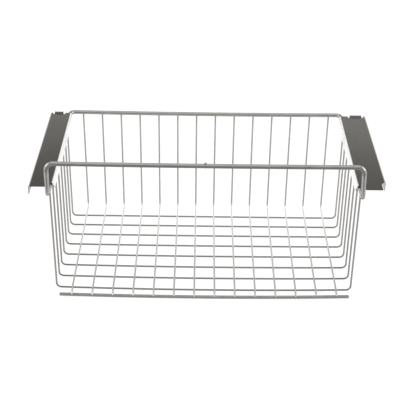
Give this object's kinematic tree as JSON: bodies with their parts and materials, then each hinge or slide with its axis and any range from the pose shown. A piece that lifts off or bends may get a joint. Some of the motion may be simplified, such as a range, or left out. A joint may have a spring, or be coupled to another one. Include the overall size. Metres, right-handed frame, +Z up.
{
  "type": "freezer basket",
  "caption": "Welded wire basket with an open front, a raised front bar and a folded sheet-metal slide channel along each side, for sliding on a freezer's ledges.",
  "frame": {"origin": "middle of the footprint, at the underside of the front bottom bar", "axes": "+X to the right seen from the open front, +Y to the rear wall, +Z up"},
  "size_m": [0.4964, 0.269, 0.2403],
  "materials": {
    "thin_wire": "bright drawn steel wire, plated, 2.7 mm",
    "thick_wire": "bright plated steel wire, 6.35 mm rim and 4.8 mm bar",
    "channel_sheet": "smooth rolled steel sheet, 1 mm, dark on top with bright turned-down lips"
  },
  "bodies": {
    "root": {"rim_loop": "thick_wire", "cross_wire_1": "thin_wire", "cross_wire_2": "thin_wire", "cross_wire_3": "thin_wire", "cross_wire_4": "thin_wire", "cross_wire_5": "thin_wire", "cross_wire_6": "thin_wire", "cross_wire_7": "thin_wire", "cross_wire_8": "thin_wire", "long_wire_01": "thin_wire", "long_wire_02": "thin_wire", "long_wire_03": "thin_wire", "long_wire_04": "thin_wire", "long_wire_05": "thin_wire", "long_wire_06": "thin_wire", "long_wire_07": "thin_wire", "long_wire_08": "thin_wire", "long_wire_09": "thin_wire", "long_wire_10": "thin_wire", "long_wire_11": "thin_wire", "long_wire_12": "thin_wire", "long_wire_13": "thin_wire", "long_wire_14": "thin_wire", "front_bottom_bar": "thick_wire", "left_slide_channel": "channel_sheet", "right_slide_channel": "channel_sheet"}
  },
  "joints": []
}
